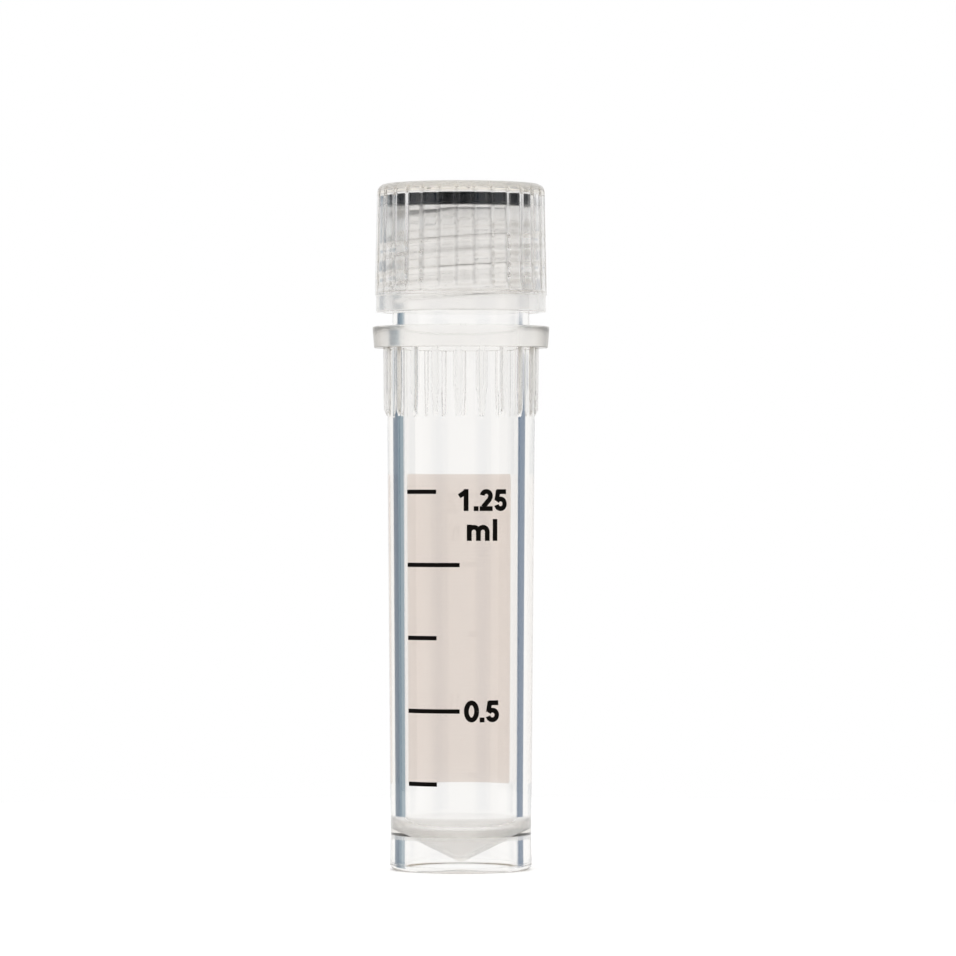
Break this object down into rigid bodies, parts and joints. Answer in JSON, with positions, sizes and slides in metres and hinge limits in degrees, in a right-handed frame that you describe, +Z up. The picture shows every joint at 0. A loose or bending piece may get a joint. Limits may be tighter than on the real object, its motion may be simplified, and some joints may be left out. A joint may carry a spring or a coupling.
{
  "type": "cryovial",
  "caption": "Clear self-standing screw-cap cryovial with a finned collar, a ribbed cap over a black sealing ring, printed volume marks and a blank writing panel",
  "frame": {"origin": "middle of the foot's underside, on the tube's axis", "axes": "+Z up the tube's axis towards the cap, -Y out through the printed volume marks"},
  "size_m": [0.0124, 0.0124, 0.0483],
  "materials": {
    "clear_tube": "clear polypropylene, slightly hazy",
    "clear_cap": "clear polypropylene, slightly hazy",
    "seal_rubber": "matt",
    "panel_ink": "screen-printed, matt",
    "mark_ink": "printed, matt"
  },
  "bodies": {
    "tube_body": {"tube": "clear_tube", "writing_panel": "panel_ink", "graduation_marks": "mark_ink"},
    "seal_body": {"sealing_ring": "seal_rubber"},
    "cap_body": {"screw_cap": "clear_cap"}
  },
  "joints": [
    {"name": "cap_rise", "type": "slide", "parent": "tube_body", "child": "seal_body", "axis": [0, 0, 1], "range_m": [0, 0.01]},
    {"name": "cap_turn", "type": "hinge", "parent": "seal_body", "child": "cap_body", "pos_m": [0, 0, 0.044], "axis": [0, 0, 1], "range_deg": [0, 1800]}
  ],
  "couplings": [
    {"joint": "cap_turn", "follows": "cap_rise", "rad_per_m": 3141.6}
  ]
}
